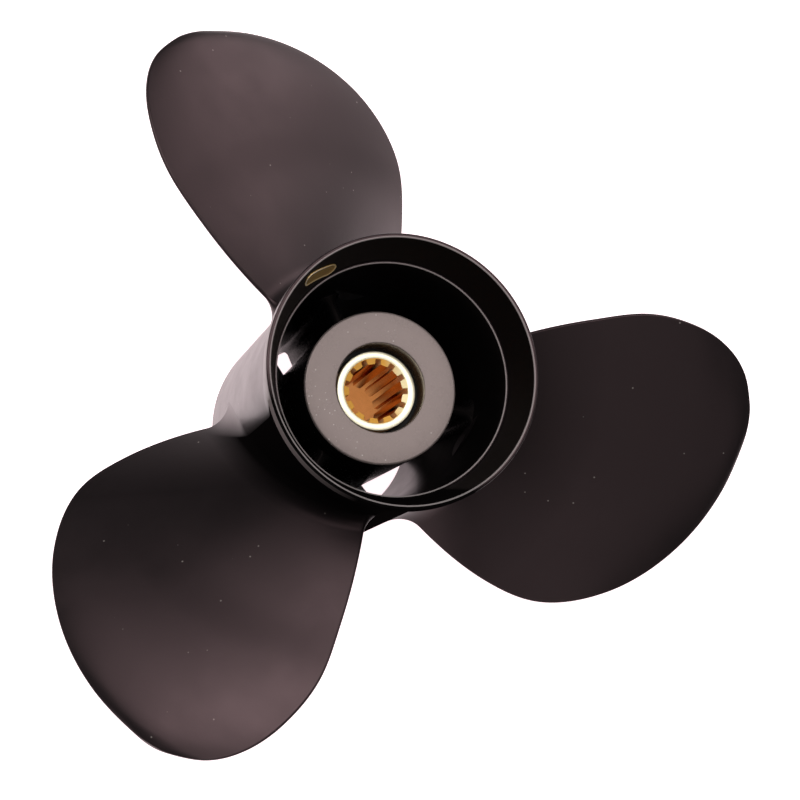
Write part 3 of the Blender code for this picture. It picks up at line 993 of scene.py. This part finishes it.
def brass_material():
    """Brass: a bright end ring, gold chamfers with a painted highlight on one side, painted
    light in the slots between the teeth near the aft end, and a brown bore with streaks
    along its teeth.
    """
    brass = Painter("turned_brass")
    radius, height = brass.shaft_distance()
    aft_z = SLEEVE_HIGH.z
    aft_end = brass.above(height, aft_z - MASK_SLACK)
    outside = brass.above(radius, SLEEVE_BORE_RADIUS - 0.5 * MASK_SLACK)
    chamfer_z = aft_z - (SLEEVE_BORE_RADIUS - SPLINE_TIP_RADIUS) * CHAMFER_SLOPE
    chamfers = brass.above(height, chamfer_z)
    end_ring = brass.larger(aft_end, brass.times(chamfers, outside))
    between_teeth = brass.above(radius, SPLINE_TIP_RADIUS + 2 * MASK_SLACK)
    near_aft = brass.spread(height, aft_z - SLOT_REACH, aft_z - SLOT_CLEAR, 0.0, SLOT_STRENGTH)
    # Painted light in the slots near the aft end, fading out deeper in.
    slot_light = brass.times(between_teeth, near_aft)
    dull = brass.larger(chamfers, slot_light)
    tone = brass.mix(brass.noise(*BRASS_CLOUD), *BRASS_TONES)
    tone = brass.mix(slot_light, tone, SLOT_LIGHT_COLOUR)
    # Painted highlight on one side of the chamfers.
    tone = brass.mix(chamfers, tone, brass.mix(brass.beyond(CHAMFER_HIGHLIGHT_SIDE, CHAMFER_HIGHLIGHT_EDGE), *GOLD_AND_HIGHLIGHT_TONES))
    brass.feed("Base Color", brass.mix(end_ring, tone, END_RING_COLOUR))
    brass.feed("Metallic", brass.larger(brass.fade(dull, 1.0, DULL_METAL), aft_end))
    streaks = brass.noise(*BRASS_STREAKS, brass.stretched(STREAK_STRETCH))
    satin = brass.spread(streaks, *NOISE_RANGE, *BRASS_ROUGHNESS)
    brass.feed("Roughness", brass.larger(satin, brass.times(dull, DULL_ROUGHNESS)))
    brass.shader.inputs["Specular Tint"].default_value = BRASS_TINT
    brass.feed("Normal", brass.bump(streaks, STREAK_DEPTH))
    return brass.material


def rubber_material():
    """Matt black rubber with a faint grain."""
    rubber = Painter("bush_rubber")
    cloud = rubber.noise(*RUBBER_CLOUD)
    rubber.feed("Base Color", rubber.mix(cloud, *RUBBER_TONES))
    rubber.feed("Roughness", rubber.spread(cloud, *NOISE_RANGE, *RUBBER_ROUGHNESS))
    rubber.feed("Normal", rubber.bump(rubber.noise(*RUBBER_GRAIN), RUBBER_DEPTH))
    return rubber.material


def foil_material():
    """Satin gold-toned foil, brighter on its raised border, with a painted highlight on the
    border towards its upper end.
    """
    foil = Painter("gold_foil")
    cloud = foil.noise(*FOIL_CLOUD)
    radius, height = foil.shaft_distance()
    foot_radius = PASSAGE_RADIUS + LEDGE_WIDTH
    wall = foil.spread(
        height, BARREL_LENGTH - LEDGE_DEPTH, BARREL_LENGTH, foot_radius, MOUTH_RADIUS
    )
    border = foil.spread(foil.maths("SUBTRACT", wall, radius), *TAG_BORDER_LIFT, 0.0, 1.0)
    # Painted highlight: the border turns near-white towards the tag's upper end.
    high = foil.spread(height, TAG_Z, TAG_Z + TAG_HIGHLIGHT_REACH, 0.0, 1.0)
    tone = foil.mix(border, foil.mix(cloud, *FOIL_TONES), foil.mix(high, *FOIL_BORDER_AND_HIGHLIGHT_TONES))
    foil.feed("Base Color", tone)
    foil.feed("Roughness", foil.spread(cloud, *NOISE_RANGE, *FOIL_ROUGHNESS))
    foil.feed("Metallic", foil.fade(border, *FOIL_METAL))
    foil.feed("Normal", foil.bump(foil.noise(*FOIL_GRAIN), FOIL_DEPTH))
    return foil.material


def window_light(floor_paint, angle, half_width, distance):
    """1 on the part of the floor that lies in one direction from the shaft line."""
    reach = floor_paint.times(distance, math.cos(half_width))
    return floor_paint.above(floor_paint.along(angle), reach)


def floor_glow(floor_paint):
    """The floor's own light: a square pool, mostly dark inside the barrel."""
    sides = []
    for angle, centre in GLOW_AXES:
        away = floor_paint.maths("SUBTRACT", floor_paint.along(angle), centre)
        sides.append(floor_paint.maths("ABSOLUTE", away, 0.0))
    pool = floor_paint.spread(floor_paint.larger(*sides), *GLOW_EDGE, FLOOR_GLOW, 0.0)
    distance, _ = floor_paint.shaft_distance()
    left = window_light(floor_paint, *LEFT_WINDOW, distance)
    lower = window_light(floor_paint, *LOWER_WINDOW, distance)
    outside = floor_paint.above(distance, PASSAGE_FRONT_RADIUS + PASSAGE_RIM)
    lit = floor_paint.larger(outside, floor_paint.larger(left, lower))
    under_bore = floor_paint.below(distance, BUSH_POCKET_RADIUS)
    bore_light = floor_paint.spread(distance, *BORE_GLOW_EDGE, *BORE_GLOWS)
    share = floor_paint.maths(
        "ADD",
        floor_paint.times(lit, floor_paint.inverse(under_bore)),
        floor_paint.times(under_bore, bore_light),
    )
    return floor_paint.times(pool, share)


def make_floor():
    """A pale floor under the part, far wider than the view."""
    floor_paint = Painter("pale_floor")
    tone = floor_paint.mix(floor_paint.noise(*FLOOR_CLOUD), *FLOOR_TONES)
    floor_paint.feed("Base Color", tone)
    floor_paint.shader.inputs["Roughness"].default_value = FLOOR_ROUGHNESS
    floor_paint.shader.inputs["Emission Color"].default_value = FLOOR_GLOW_COLOUR
    floor_paint.feed("Emission Strength", floor_glow(floor_paint))
    shape = bmesh.new()
    bmesh.ops.create_grid(shape, x_segments=1, y_segments=1, size=FLOOR_REACH)
    mesh = bpy.data.meshes.new("floor")
    shape.to_mesh(mesh)
    shape.free()
    mesh.materials.append(floor_paint.material)
    link("floor", mesh)


def make_light(name, azimuth, elevation, size, watts, colour):
    """A soft rectangular light that faces the part, placed by its direction."""
    data = bpy.data.lights.new(name, "AREA")
    data.shape = "RECTANGLE"
    data.size, data.size_y = size
    data.energy = watts
    data.color = colour
    light = link(name, data)
    a = math.radians(azimuth)
    e = math.radians(elevation)
    aim = Vector((0, 0, LIGHT_AIM * BARREL_LENGTH))
    way = Vector((math.cos(a) * math.cos(e), math.sin(a) * math.cos(e), math.sin(e)))
    light.location = aim + way * LIGHT_DISTANCE
    light.rotation_euler = way.to_track_quat("Z", "Y").to_euler()


def make_lights():
    """The studio's soft lights, and its faint light from all around."""
    for settings in LIGHTS:
        make_light(*settings)
    world = bpy.data.worlds.new("studio")
    bpy.context.scene.world = world
    world.use_nodes = True
    background = world.node_tree.nodes["Background"]
    background.inputs["Color"].default_value = (*WHITE_LIGHT, 1.0)
    background.inputs["Strength"].default_value = STUDIO_STRENGTH


def make_camera():
    """The photograph's camera, placed from the middle of the barrel's mouth."""
    data = bpy.data.cameras.new("camera")
    data.lens = CAMERA_LENS
    data.sensor_width = CAMERA_SENSOR
    camera = link("camera", data)
    turn = (
        Matrix.Rotation(CAMERA_HEADING, 4, "Z")
        @ Matrix.Rotation(CAMERA_LEAN, 4, "Y")
        @ Matrix.Rotation(CAMERA_ROLL, 4, "Z")
    )
    offset = turn @ Vector((*CAMERA_AIM, CAMERA_DISTANCE))
    camera.matrix_world = Matrix.Translation(Vector((0, 0, BARREL_LENGTH)) + offset) @ turn
    bpy.context.scene.camera = camera


def main():
    blade_paint = paint_material("blade_paint", blade_looks)
    hub_paint = hub_material()
    make_barrel(paint_material("barrel_paint", barrel_looks))
    make_hub(hub_paint)
    for number in range(1, BLADE_COUNT + 1):
        make_web(number, hub_paint)
        make_blade(number, blade_paint)
    make_sleeve(brass_material())
    make_bush(rubber_material())
    make_tag(foil_material())
    make_floor()
    make_lights()
    make_camera()
    bpy.context.scene.view_settings.view_transform = "Standard"


main()
